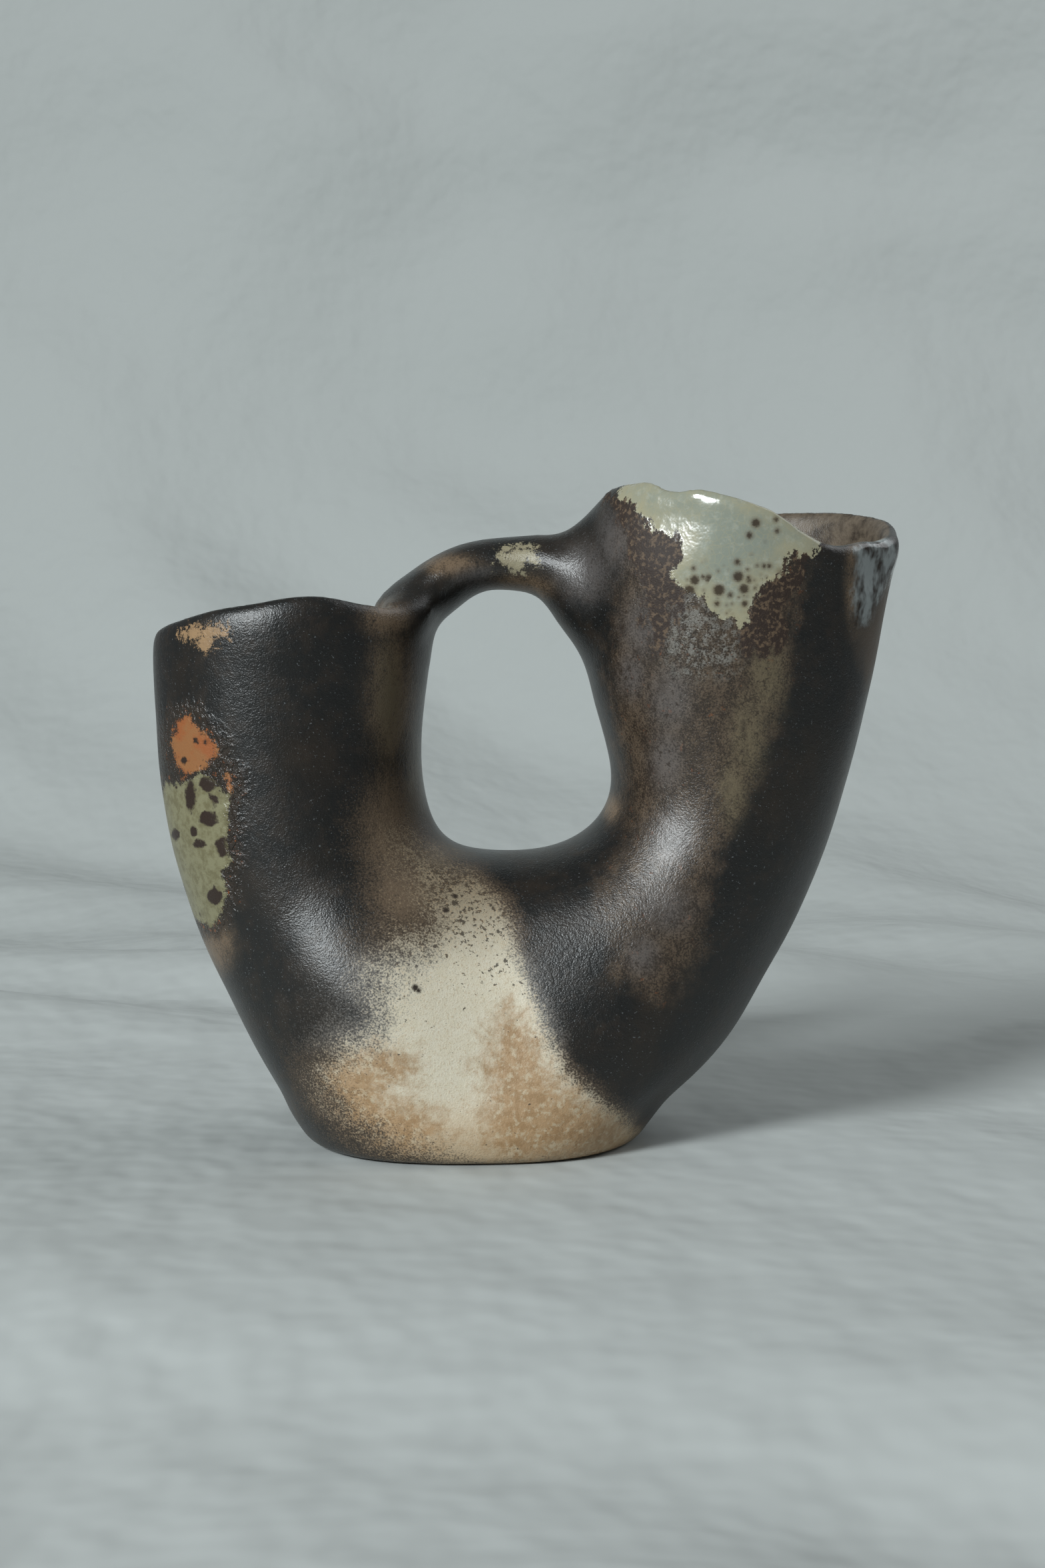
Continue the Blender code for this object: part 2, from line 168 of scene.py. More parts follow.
FLAME = [
    (-18, 77), (-9, 71), (0, 67), (6, 62), (9, 58), (11, 52), (13, 45), (16, 37), (19, 30), (22, 22),
    (25, 15), (31, 10), (38, 5), (44, 0), (40, -8), (12, -10), (-3, -10), (-15, -7), (-25, -2),
    (-32, 3), (-38, 10), (-39, 16), (-35, 21), (-26, 25), (-24, 30), (-25, 37), (-24, 43), (-17, 50),
    (-10, 54), (-13, 59), (-17, 67),
]
TOAST = [
    [
        (-40, 17), (-24, 22), (-15, 19), (-15, 14), (-22, 10), (-10, 5), (-6, 0), (-14, -6), (-30, -3),
        (-39, 8),
    ],
    [
        (6, 28), (10, 33), (15, 28), (19, 21), (24, 14), (31, 8), (40, 2), (40, -6), (8, -8), (1, -1),
        (4, 8), (2, 17),
    ],
]
GLAZE = [
    (37, 164), (40, 168), (48, 169), (62, 168), (70, 166), (78, 161), (88, 154), (89, 150), (87, 148),
    (84, 148), (82, 149), (80, 145), (77, 143), (73, 140), (72, 137), (71, 131), (69, 131), (68, 133),
    (64, 133), (61, 135), (59, 138), (56, 139), (54, 141), (52, 143), (52, 146), (54, 147), (54, 152),
    (53, 154), (50, 154), (48, 155), (46, 155), (45, 158), (42, 160), (40, 162),
]
SCORCH = [
    [
        (35, 163), (42, 162), (47, 157), (56, 153), (57, 145), (55, 139), (52, 135), (52, 130),
        (48, 125), (45, 131), (43, 140), (41, 149), (39, 157),
    ],
    [
        (91, 153), (89, 147), (84, 147), (83, 141), (82, 134), (80, 127), (75, 123), (68, 124),
        (66, 130), (70, 135), (72, 140), (80, 147), (82, 150),
    ],
]
HAZE = [
    (38, 160), (38, 138), (37, 126), (36, 113), (37, 100), (40, 87), (42, 73), (34, 64), (34, 52),
    (38, 39), (46, 33), (55, 38), (60, 48), (62, 60), (64, 75), (68, 83), (72, 94), (76, 106),
    (81, 122), (83, 140), (84, 150),
]
ORANGE = [
    [
        (-76, 107), (-72, 108), (-69, 104), (-65, 100), (-65, 97), (-68, 94), (-72, 92), (-74, 90),
        (-75, 94), (-77, 97), (-77, 101),
    ],
    [
        (-78, 81), (-75, 75), (-74, 68), (-72, 63), (-75, 64), (-77, 71), (-79, 78),
    ],
    [
        (-64, 94), (-61, 92), (-61, 88), (-63, 87),
    ],
]
SAGE = [
    (-79, 90), (-74, 90), (-70, 93), (-66, 91), (-62, 87), (-63, 82), (-62, 79), (-63, 75), (-62, 70),
    (-64, 67), (-63, 63), (-65, 55), (-67, 53), (-72, 56), (-76, 64), (-79, 70), (-80, 79),
]
CREAM = [
    [
        (-75, 128), (-72, 130), (-67, 130), (-62, 130), (-62, 128), (-66, 126), (-68, 124), (-71, 127),
    ],
    [
        (7, 150), (10, 151), (14, 151), (17, 150), (17, 146), (14, 147), (13, 144), (10, 145), (9, 147),
        (7, 146),
    ],
]
DRIP = [
    (98, 150), (105, 153), (109, 150), (109, 145), (106, 141), (104, 137), (101, 131), (98, 131),
    (98, 140),
]
SIDE_STRIP = [(101, 132), (107, 144), (108, 132), (105, 120), (102, 115), (100, 120), (99, 129)]
VEIL = [(50, 137), (58, 139), (64, 134), (72, 133), (73, 126), (66, 119), (56, 117), (50, 121), (48, 128)]

# Brown spots that eat into the patches of the left neck
SPOTS = [
    Blob(-72, 87, 1.4, 4), Blob(-67.5, 90, 2.2, 2.2), Blob(-66, 86, 1.2, 1.2), Blob(-67.5, 81, 2.4, 2),
    Blob(-70, 74.5, 1.6, 1.2), Blob(-63.6, 74, 2.2, 2.6), Blob(-66, 61, 2, 2.2), Blob(-76, 77, 1, 1.5),
    Blob(-70.5, 101, 0.9, 0.9), Blob(-68, 101, 0.8, 0.8), Blob(-73.5, 96, 1, 1), Blob(-67, 95.7, 0.9, 0.9),
    Blob(-65, 93, 1, 1),
]

# A drop of ash or a pit in the clay: where the camera sees it, and its radius, in mm
Drop = namedtuple("Drop", "x z radius")
DROPS = [
    Drop(57.2, 142.1, 1.0), Drop(63.4, 139.6, 1.2), Drop(68.3, 143.0, 1.1), Drop(69.8, 139.9, 1.0),
    Drop(55.8, 139.4, 1.2), Drop(54.2, 138.6, 1.3), Drop(72.7, 156.6, 0.9), Drop(71.1, 153.5, 0.65),
    Drop(68.0, 146.7, 0.55), Drop(77.9, 157.5, 0.45), Drop(78.1, 154.6, 0.4), Drop(74.9, 145.7, 0.4),
    Drop(76.2, 145.7, 0.4), Drop(70.9, 142.6, 0.4), Drop(70.0, 136.1, 0.6), Drop(62.9, 136.1, 0.5),
    Drop(56.9, 145.1, 0.35),
]
PITS = [Drop(-14.5, 37.4, 0.8), Drop(-13.6, 36.6, 0.6), Drop(-6.5, 57.5, 0.7), Drop(-4.0, 61.0, 0.6)]

# Soft blooms of colour; the lilac-grey ones are partly ash tint and partly painted sheen
BROWN_BLOOMS = [
    Blob(-20, 112, 7, 17), Blob(-20, 78, 8, 17), Blob(-17, 62, 9, 9), Blob(-22, 132, 6, 5),
    Blob(-5, 146, 8, 3), Blob(-66, 48, 5, 8), Blob(98, 141, 2.5, 13), Blob(12, 140, 9, 4),
    Blob(36, 84, 2.5, 4),
]
LILAC_ASH_AND_SHEEN_BLOOMS = [
    Blob(37, 152, 5, 9), Blob(44, 130, 6, 9), Blob(41, 118, 4, 7), Blob(51, 112, 6, 9), Blob(50, 96, 5, 9),
    Blob(52, 76, 6, 8), Blob(50, 58, 8, 7), Blob(44, 46, 5, 6), Blob(1, 143, 6, 3), Blob(29, 144, 8, 8),
]
OLIVE_BLOOMS = [
    Blob(76, 118, 5, 12), Blob(71, 102, 5, 12), Blob(67, 88, 4, 9), Blob(-14, 88, 3, 15),
    Blob(-10, 71, 5, 5), Blob(-21, 112, 4, 14),
]

# The names under which the skin keeps the marks
OUTLINE_MARKS = {
    "toast": TOAST,
    "glaze": [GLAZE],
    "scorch": SCORCH,
    "haze": [HAZE],
    "orange": ORANGE,
    "sage": [SAGE],
    "cream": CREAM,
    "drip": [DRIP],
    "strip": [SIDE_STRIP],
    "veil": [VEIL],
}
BLOOM_MARKS = {"brown": BROWN_BLOOMS, "lilac": LILAC_ASH_AND_SHEEN_BLOOMS, "olive": OLIVE_BLOOMS}

# How rough each surface of the fired clay is
BRIGHT_SMOKE = 0.24
DULL_SMOKE = 0.40
HAZE_SHEEN = 0.31
PIT_SHEEN = 0.36
EDGE_SHEEN = 0.42
SPOT_SHEEN = 0.40
CRUST_SHEEN = 0.30
DRY_CLAY = 0.45
SCORCHED_CLAY = 0.65
GLAZE_GLOSS = 0.17
GLASS_GLOSS = 0.10

# The sizes of the mottling on the clay, in mm
FINE_MOTTLE = 0.45
SMALL_MOTTLE = 2.3
MEDIUM_MOTTLE = 7
LARGE_MOTTLE = 26

# How far the crust passes the left patches, how far the orange stays inside its outline, and how wide the
# straw-coloured edge of the glaze is, in mm
CRUST_WIDTH = 3
ORANGE_TRIM = 0.6
GLAZE_EDGE = 3.0

# The relief of the fired clay and of the glaze, in mm
GRAIN_DEPTH = 0.11
PEBBLE_DEPTH = 0.075
DENT_DEPTH = 0.05
CRUST_DEPTH = 0.35
RIPPLE_DEPTH = 0.09


def welded_copy(node):
    """A bmesh of a CAD node with its split corners joined."""
    bm = bmesh.new()
    bm.from_mesh(node.data)
    bmesh.ops.remove_doubles(bm, verts=bm.verts, dist=CORNER_REACH)
    return bm


def joint_faces(bm, others):
    """Faces that lie flat against a neighbouring piece of clay."""
    found = []
    for face in bm.faces:
        place, normal, _, _ = others.find_nearest(face.calc_center_median(), JOINT_REACH)
        if place is not None and normal.dot(face.normal) < FACE_TO_FACE:
            found.append(face)
    return found


def bvh_of(bmeshes):
    """One search tree over several bmeshes."""
    points = []
    faces = []
    for bm in bmeshes:
        bm.verts.index_update()
        first = len(points)
        points.extend(vert.co.copy() for vert in bm.verts)
        faces.extend([first + vert.index for vert in face.verts] for face in bm.faces)
    return BVHTree.FromPolygons(points, faces)


def joined(bmeshes, name):
    """One bmesh made of several, which are used up."""
    whole = bmesh.new()
    for bm in bmeshes:
        mesh = to_mesh(bm, name)
        whole.from_mesh(mesh)
        bpy.data.meshes.remove(mesh)
    return whole


def open_slab_top(bm):
    """Takes the top off the slab, where the walls stand on it."""
    top = max(vert.co.z for vert in bm.verts) - JOINT_REACH
    lid = [face for face in bm.faces if face.normal.z > FACE_UP and face.calc_center_median().z > top]
    bmesh.ops.delete(bm, geom=lid, context="FACES")


def welded_shell(nodes):
    """The slab, courses and saddle as one closed shell without the joints between them."""
    pieces = {name: welded_copy(node) for name, node in nodes.items() if name != "bridge_handle"}
    inner = {}
    for name, bm in pieces.items():
        others = bvh_of([other for key, other in pieces.items() if key != name])
        inner[name] = [] if name == "base_slab" else joint_faces(bm, others)
    for name, bm in pieces.items():
        if name == "base_slab":
            open_slab_top(bm)
        else:
            bmesh.ops.delete(bm, geom=inner[name], context="FACES")
    shell = joined(list(pieces.values()), "shell")
    bmesh.ops.remove_doubles(shell, verts=shell.verts, dist=WELD_REACH)
    floor_edge = [edge for edge in shell.edges if edge.is_boundary]
    bmesh.ops.holes_fill(shell, edges=floor_edge, sides=0)
    bmesh.ops.recalc_face_normals(shell, faces=shell.faces)
    bmesh.ops.join_triangles(
        shell, faces=shell.faces, angle_face_threshold=FLAT_QUAD, angle_shape_threshold=SKEWED_QUAD
    )
    return shell


def sunk_bridge(node, shell):
    """The bridge with its seats pushed into the necks, and the points of its seats."""
    bm = welded_copy(node)
    wall = bvh_of([shell])
    seats = []
    for vert in bm.verts:
        place, normal, _, _ = wall.find_nearest(vert.co, JOINT_REACH)
        if place is not None:
            seats.append(place)
            vert.co = place - normal * BRIDGE_SINK
    return bm, seats


def evaluated_mesh(thing):
    """The mesh of an object with its modifiers carried out; the object is removed."""
    depsgraph = bpy.context.evaluated_depsgraph_get()
    depsgraph.update()
    mesh = bpy.data.meshes.new_from_object(thing.evaluated_get(depsgraph))
    bpy.data.objects.remove(thing)
    return mesh


def new_object(name, mesh):
    """An object of its own in the scene."""
    thing = bpy.data.objects.new(name, mesh)
    bpy.context.scene.collection.objects.link(thing)
    return thing


def to_mesh(bm, name):
    """A mesh made of a bmesh, which is used up."""
    mesh = bpy.data.meshes.new(name)
    bm.to_mesh(mesh)
    bm.free()
    return mesh


def rounded(bm, levels):
    """A bmesh made finer and rounder."""
    thing = new_object("rounded", to_mesh(bm, "rounded"))
    thing.modifiers.new("rounded", "SUBSURF").levels = levels
    finer = bmesh.new()
    finer.from_mesh(evaluated_mesh(thing))
    return finer


def clay_pat(pat):
    """A pat of clay, as an ellipsoid."""
    bm = bmesh.new()
    bmesh.ops.create_icosphere(bm, subdivisions=PAT_LEVELS, radius=MM)
    bmesh.ops.scale(bm, verts=bm.verts, vec=pat.size)
    bmesh.ops.translate(bm, verts=bm.verts, vec=Vector(pat.at) * MM)
    return bm


def fused_skin(nodes):
    """The vase as one closed skin, the smooth surfaces that it follows, and the seats of the bridge."""
    shell = welded_shell(nodes)
    bridge, seats = sunk_bridge(nodes["bridge_handle"], shell)
    pats = [clay_pat(pat) for pat in PATS]
    seats.extend(vert.co.copy() for pat in pats for vert in pat.verts)
    whole = joined([rounded(shell, ROUND_LEVELS), bridge, *pats], "clay")
    clay = bvh_of([whole])
    fused = new_object("fused", to_mesh(whole, "fused"))
    grid = fused.modifiers.new("skin", "REMESH")
    grid.mode = "VOXEL"
    grid.voxel_size = SKIN_GRID
    return evaluated_mesh(fused), clay, seats


def points_of(mesh):
    """The vertices of a mesh as an array."""
    points = np.empty(len(mesh.vertices) * 3)
    mesh.vertices.foreach_get("co", points)
    return points.reshape(-1, 3)


def normals_of(mesh):
    """The normals at the vertices of a mesh as an array."""
    normals = np.empty(len(mesh.vertices) * 3)
    mesh.vertex_normals.foreach_get("vector", normals)
    return normals.reshape(-1, 3)


def edges_of(mesh):
    """The edges of a mesh as an array of vertex pairs."""
    edges = np.empty(len(mesh.edges) * 2, int)
    mesh.edges.foreach_get("vertices", edges)
    return edges.reshape(-1, 2)


def neighbour_mean(values, edges):
    """For each vertex, the mean of the values of the vertices it is joined to."""
    start, end = np.concatenate([edges, edges[:, ::-1]]).T
    counts = np.bincount(start, minlength=len(values))
    columns = [np.bincount(start, weights=column[end], minlength=len(values)) for column in values.T]
    return np.stack(columns, axis=1) / counts[:, None]


def relaxed(points, edges, rounds):
    """Points smoothed all over without shrinking: each round draws in and pushes back out."""
    for _ in range(rounds):
        for step in (DRAW_IN, PUSH_OUT):
            points = points + (neighbour_mean(points, edges) - points) * step
    return points


def near_seats(points, seats):
    """How near each point is to a seat of the bridge: 1 at the seat, 0 beyond its smear."""
    tree = KDTree(len(seats))
    for index, seat in enumerate(seats):
        tree.insert(seat, index)
    tree.balance()
    away = np.array([tree.find(point)[2] for point in points])
    return np.clip(1 - (away / SMEAR_REACH) ** 2, 0, 1)


def smeared(points, edges, share, rounds):
    """Points smoothed strongly where the share is high."""
    for _ in range(rounds):
        points = points + (neighbour_mean(points, edges) - points) * (DRAW_IN * share)[:, None]
    return points


def felt(points, at, width):
    """How strongly each point feels a touch: 1 at its middle, 0 beyond its width; both are in mm."""
    away = np.linalg.norm(points - np.array(at) * MM, axis=1) / (width * MM)
    return np.clip(1 - away**2, 0, 1)


def on_clay(points, clay, share):
    """Points laid back on the smooth clay, except near the seats of the bridge."""
    laid = np.array([clay.find_nearest(Vector(point))[0] for point in points])
    return points + (laid - points) * (1 - np.sqrt(share))[:, None]


def pressed(points):
    """Points moved by the touches of the maker's hand."""
    for push in PUSHES:
        strength = felt(points, push.at, push.width) ** 2
        points = points + strength[:, None] * np.array(push.move) * MM
    return points


def stroked(points, edges):
    """Points smoothed by the maker's wet finger."""
    for stroke in STROKES:
        points = smeared(points, edges, felt(points, stroke.at, stroke.width), stroke.rounds)
    return points


def uneven(points, normals):
    """Points moved in and out a little, as hand-built clay swells."""
    swell = np.array([noise.noise(Vector(point) / SWELL_WIDTH) for point in points])
    above_foot = np.clip(points[:, 2] / SWELL_WIDTH, 0, 1)
    return points + normals * (swell * above_foot * SWELL_DEPTH)[:, None]


def place_points(mesh, points):
    """Moves the vertices of a mesh."""
    mesh.vertices.foreach_set("co", points.ravel())
    mesh.update()


def at_rim(vert):
    """Whether a vertex lies at one of the rims."""
    x, _, z = vert.co / MM
    return any(rim.start < x < rim.end and z > rim.height for rim in RIMS)


def refine_rims(mesh):
    """Makes the skin finer at the rims."""
    bm = bmesh.new()
    bm.from_mesh(mesh)
    near = {vert for vert in bm.verts if at_rim(vert)}
    edges = [edge for edge in bm.edges if near.issuperset(edge.verts)]
    bmesh.ops.subdivide_edges(bm, edges=edges, cuts=1, use_grid_fill=True)
    bm.to_mesh(mesh)
    bm.free()


def fired_body(nodes):
    """The whole vase as one fired piece."""
    mesh, clay, seats = fused_skin(nodes)
    refine_rims(mesh)
    edges = edges_of(mesh)
    points = points_of(mesh)
    share = near_seats(points, seats)
    for rounds in SMOOTH_ROUNDS:
        points = on_clay(points, clay, share)
        points = relaxed(points, edges, rounds)
    points = smeared(points, edges, share, SMEAR_ROUNDS)
    points = stroked(pressed(points), edges)
    place_points(mesh, points)
    place_points(mesh, uneven(points_of(mesh), normals_of(mesh)))
    mesh.shade_smooth()
    return new_object("fired_body", mesh)


def front_view(points):
    """Where the camera sees each point on the plane through the centre of the foot, in mm."""
    eye = np.array(CAMERA_AT)
    scale = -eye[1] / (points[:, 1] - eye[1])
    seen = eye + (points - eye) * scale[:, None]
    return seen[:, [0, 2]] / MM


def step_between(start, full, values):
    """0 up to the start, 1 from the full value on, smooth between."""
    share = np.clip((values - start) / (full - start), 0, 1)
    return share * share * (3 - 2 * share)


def inside_outline(seen, outline):
    """How far each point of the front view lies inside an outline, in mm; negative outside."""
    corners = np.array(outline, float)
    nearest = np.full(len(seen), np.inf)
    inside = np.zeros(len(seen), bool)
    for start, end in zip(corners, np.roll(corners, -1, axis=0)):
        run = end - start
        along = np.clip((seen - start) @ run / (run @ run), 0, 1)
        nearest = np.minimum(nearest, np.linalg.norm(seen - start - along[:, None] * run, axis=1))
        if run[1]:
            crossing = start[0] + (seen[:, 1] - start[1]) * run[0] / run[1]
            straddled = (start[1] > seen[:, 1]) != (end[1] > seen[:, 1])
            inside ^= straddled & (seen[:, 0] < crossing)
    return np.where(inside, nearest, -nearest)


def inside_outlines(seen, outlines):
    """The same for several outlines together."""
    return np.max([inside_outline(seen, outline) for outline in outlines], axis=0)


def inside_blobs(seen, blobs):
    """How far each point of the front view lies inside one of some blobs, in mm; negative outside."""
    depths = []
    for blob in blobs:
        sizes = np.array([blob.width, blob.height])
        reach = np.linalg.norm((seen - [blob.x, blob.z]) / sizes, axis=1)
        depths.append((1 - reach) * sizes.min())
    return np.max(depths, axis=0)


def bloom(seen, blobs):
    """How strongly each point of the front view is felt by some soft blobs, from 0 to 1."""
    strengths = []
    for blob in blobs:
        reach = (seen - [blob.x, blob.z]) / [blob.width, blob.height]
        strengths.append(np.exp(-np.sum(reach**2, axis=1)))
    return np.max(strengths, axis=0)


def add_mark(mesh, name, values):
    """Keeps a value for each vertex, for the shader."""
    mark = mesh.attributes.new(name, "FLOAT", "POINT")
    mark.data.foreach_set("value", values)


def inner_walls(points, normals, nodes):
    """1 on the inner walls of the necks and 0 elsewhere."""
    names = list(nodes)
    owners = []
    corners = []
    faces = []
    for owner, name in enumerate(names):
        mesh = nodes[name].data
        first = len(corners)
        corners.extend(vert.co.copy() for vert in mesh.vertices)
        faces.extend([first + index for index in face.vertices] for face in mesh.polygons)
        owners.extend([owner] * len(mesh.polygons))
    tree = BVHTree.FromPolygons(corners, faces)
    middles = []
    for name in names:
        own = points_of(nodes[name].data)
        middles.append((own.min(axis=0) + own.max(axis=0)) / 2)
    owner = np.array([owners[tree.find_nearest(Vector(point))[2]] for point in points])
    hollow = np.array(["neck" in name or "lip" in name or name == "right_shoulder" for name in names])
    outwards = points - np.array(middles)[owner]
    facing = np.sum(outwards * normals, axis=1) / np.linalg.norm(outwards, axis=1)
    return hollow[owner] * step_between(OUTER_WALL, INNER_WALL, facing)


def flame_softness(seen):
    """How softly the flame patch fades at each point of the front view, in mm."""
    left = step_between(*FLAME_LEFT, seen[:, 0])
    high = step_between(*FLAME_HIGH, seen[:, 1])
    return FLAME_SOFT + (FLAME_SOFT_LEFT + FLAME_SOFT_HIGH * high) * left


def add_marks(mesh, nodes):
    """Works out how far each vertex lies inside each mark of the fire; the marks fade round the sides."""
    points = points_of(mesh)
    depth_mm = points[:, 1] / MM
    aside = np.clip(depth_mm - SIDE_START, 0, None)
    lost = SIDE_FADE * aside + SIDE_BEND * aside**2
    front = step_between(BLOOM_END, BLOOM_START, depth_mm)
    seen = front_view(points)
    add_mark(mesh, "spared", (inside_outline(seen, FLAME) - lost) / flame_softness(seen))
    for name, outlines in OUTLINE_MARKS.items():
        add_mark(mesh, name, inside_outlines(seen, outlines) - lost)
    add_mark(mesh, "spots", inside_blobs(seen, SPOTS) - lost)
    for name, blobs in BLOOM_MARKS.items():
        add_mark(mesh, name, front * bloom(seen, blobs))
    add_mark(mesh, "inner", inner_walls(points, normals_of(mesh), nodes))


def placed_drops(mesh, drops):
    """The places on the skin, in mm, where the camera sees some drops, with their radii."""
    tree = BVHTree.FromPolygons(
        [vert.co for vert in mesh.vertices], [face.vertices for face in mesh.polygons]
    )
    eye = Vector(CAMERA_AT)
    found = []
    for drop in drops:
        place = tree.ray_cast(eye, Vector((drop.x, 0, drop.z)) * MM - eye)[0]
        found.append((place / MM, drop.radius))
    return found


def screen(red, green, blue):
    """A colour for the shader, from its screen values of 0 to 255, by the sRGB curve."""
    shares = [value / 255 for value in (red, green, blue)]
    linear = [share / 12.92 if share <= 0.04045 else ((share + 0.055) / 1.055) ** 2.4 for share in shares]
    return (*linear, 1.0)


CHARCOAL = screen(24, 24, 23)
SOOT = screen(33, 28, 23)
# Painted glint: a light grey-blue that stands in for sparkles of light on the grain
PAINTED_GLINT = screen(92, 95, 97)
UMBER = screen(46, 37, 29)
BROWN = screen(94, 79, 64)
WARM_BROWN = screen(116, 97, 77)
# Lilac-grey: partly ash tint, partly painted sheen
LILAC_ASH_AND_SHEEN = screen(96, 91, 89)
OLIVE = screen(102, 91, 71)
CREAM_CLAY = screen(200, 188, 162)
PALE_CLAY = screen(216, 209, 192)
TAN = screen(166, 133, 96)
BISCUIT = screen(178, 152, 118)
GOLD = screen(150, 116, 78)
# Painted sheen: a grey that stands in for the lobe's bluish sheen on the flame's edge
SHEEN_GREY = screen(116, 111, 106)
SMOKED_CREAM = screen(132, 118, 96)
RUST = screen(146, 84, 44)
APRICOT = screen(142, 95, 56)
MOSS = screen(106, 100, 72)
SAGE_GREEN = screen(126, 122, 94)
BURNT = screen(42, 28, 19)
EMBER = screen(92, 74, 56)
CELADON = screen(135, 140, 128)
STRAW = screen(158, 151, 124)
MILK = screen(172, 173, 160)
VEIL_GREY = screen(124, 122, 116)
GLASS = screen(156, 162, 162)
WALL_TAN = screen(104, 92, 78)
LINEN = screen(180, 184, 182)


class Paint:
    """Layers of colour, roughness and relief of one material; a value is a number, a colour or a socket."""

    def __init__(self, name):
        self.material = bpy.data.materials.new(name)
        self.material.use_nodes = True
        self.tree = self.material.node_tree
        self.shader = self.tree.nodes["Principled BSDF"]
        place = self.tree.nodes.new("ShaderNodeTexCoord")
        to_mm = self.tree.nodes.new("ShaderNodeVectorMath")
        to_mm.operation = "SCALE"
        to_mm.inputs["Scale"].default_value = 1 / MM
        self.tree.links.new(place.outputs["Object"], to_mm.inputs[0])
        self.place = to_mm.outputs[0]
        split = self.tree.nodes.new("ShaderNodeSeparateXYZ")
        self.tree.links.new(self.place, split.inputs[0])
        self.depth = split.outputs["Y"]
        self.height = split.outputs["Z"]
        self.fine = self.mottle(FINE_MOTTLE, detail=2, rough=0.6)
        self.small = self.mottle(SMALL_MOTTLE, detail=4, rough=0.65)
        self.medium = self.mottle(MEDIUM_MOTTLE, detail=4, rough=0.6)
        self.large = self.mottle(LARGE_MOTTLE)
        self.colour = CHARCOAL
        self.roughness = DULL_SMOKE
        self.relief = 0.0

    def feed(self, socket, value):
        """Sets a socket to a value."""
        if isinstance(value, bpy.types.NodeSocket):
            self.tree.links.new(value, socket)
        else:
            socket.default_value = value

    def arithmetic(self, operation, *values):
        """A step of arithmetic."""
        node = self.tree.nodes.new("ShaderNodeMath")
        node.operation = operation
        for socket, value in zip(node.inputs, values):
            self.feed(socket, value)
        return node.outputs[0]

    def times(self, one, other):
        """One value times another."""
        return self.arithmetic("MULTIPLY", one, other)

    def part(self, share, most):
        """A share of 0 to 1 brought down to a part of itself."""
        return self.times(share, most)

    def plus(self, one, other):
        """One value and another."""
        return self.arithmetic("ADD", one, other)

    def less(self, one, other):
        """One value less another."""
        return self.arithmetic("SUBTRACT", one, other)

    def greater(self, one, other):
        """The greater of two values."""
        return self.arithmetic("MAXIMUM", one, other)

    def scaled(self, value, factor, added):
        """A value times a factor, and something added."""
        return self.arithmetic("MULTIPLY_ADD", value, factor, added)

    def mark(self, name):
        """A mark of the fire, kept on the skin."""
        node = self.tree.nodes.new("ShaderNodeAttribute")
        node.attribute_name = name
        return node.outputs["Fac"]

    def stretched(self, stretch):
        """The place on the vase in mm, drawn out along each axis."""
        node = self.tree.nodes.new("ShaderNodeVectorMath")
        node.operation = "DIVIDE"
        self.feed(node.inputs[0], self.place)
        self.feed(node.inputs[1], stretch)
        return node.outputs[0]

    def mottle(self, size, detail=3, rough=0.55, stretch=(1, 1, 1)):
        """Irregular mottling of a size in mm, from 0 to 1."""
        node = self.tree.nodes.new("ShaderNodeTexNoise")
        self.feed(node.inputs["Vector"], self.stretched(stretch))
        node.inputs["Scale"].default_value = 1 / size
        node.inputs["Detail"].default_value = detail
        node.inputs["Roughness"].default_value = rough
        return node.outputs["Fac"]

    def crackle(self, size):
        """The distance from the edges of cells of a size in mm, as a share of that size."""
        node = self.tree.nodes.new("ShaderNodeTexVoronoi")
        node.feature = "DISTANCE_TO_EDGE"
        self.feed(node.inputs["Vector"], self.place)
        node.inputs["Scale"].default_value = 1 / size
        return node.outputs["Distance"]

    def scattered(self, size, keep, largest):
        """How far inside one of some scattered spots, in mm; keep is the share of cells that hold one."""
        node = self.tree.nodes.new("ShaderNodeTexVoronoi")
        self.feed(node.inputs["Vector"], self.place)
        node.inputs["Scale"].default_value = 1 / size
        chance = self.tree.nodes.new("ShaderNodeSeparateColor")
        self.feed(chance.inputs[0], node.outputs["Color"])
        radius = self.times(self.step(chance.outputs[0], start=1 - keep, full=1), largest)
        return self.scaled(node.outputs["Distance"], -size, radius)

    def dots(self, places, depth):
        """The greater of a depth in mm and the depth inside the nearest of some dots."""
        for place, radius in places:
            node = self.tree.nodes.new("ShaderNodeVectorMath")
            node.operation = "DISTANCE"
            self.feed(node.inputs[0], self.place)
            self.feed(node.inputs[1], place)
            depth = self.greater(depth, self.less(radius, node.outputs["Value"]))
        return depth

    def step(self, value, start, full):
        """0 up to the start, 1 from the full value on, smooth between."""
        node = self.tree.nodes.new("ShaderNodeMapRange")
        node.interpolation_type = "SMOOTHSTEP"
        self.feed(node.inputs["Value"], value)
        self.feed(node.inputs["From Min"], start)
        self.feed(node.inputs["From Max"], full)
        return node.outputs["Result"]

    def ragged(self, depth, mottling, reach, soft):
        """The share of a mark whose edge wanders by a reach in mm and fades over a softness in mm."""
        wander = self.scaled(mottling, reach, -reach / 2)
        return self.step(self.plus(depth, wander), start=-soft, full=soft)

    def mix(self, share, under, over):
        """One colour over another."""
        node = self.tree.nodes.new("ShaderNodeMix")
        node.data_type = "RGBA"
        colours = [socket for socket in node.inputs if socket.type == "RGBA"]
        self.feed(node.inputs["Factor"], share)
        self.feed(colours[0], under)
        self.feed(colours[1], over)
        return next(socket for socket in node.outputs if socket.type == "RGBA")

    def blend(self, share, under, over):
        """One number faded into another."""
        node = self.tree.nodes.new("ShaderNodeMix")
        self.feed(node.inputs["Factor"], share)
        self.feed(node.inputs[2], under)
        self.feed(node.inputs[3], over)
        return node.outputs[0]

    def cover(self, share, colour, roughness):
        """Lays a layer over what is there."""
        self.colour = self.mix(share, self.colour, colour)
        self.roughness = self.blend(share, self.roughness, roughness)

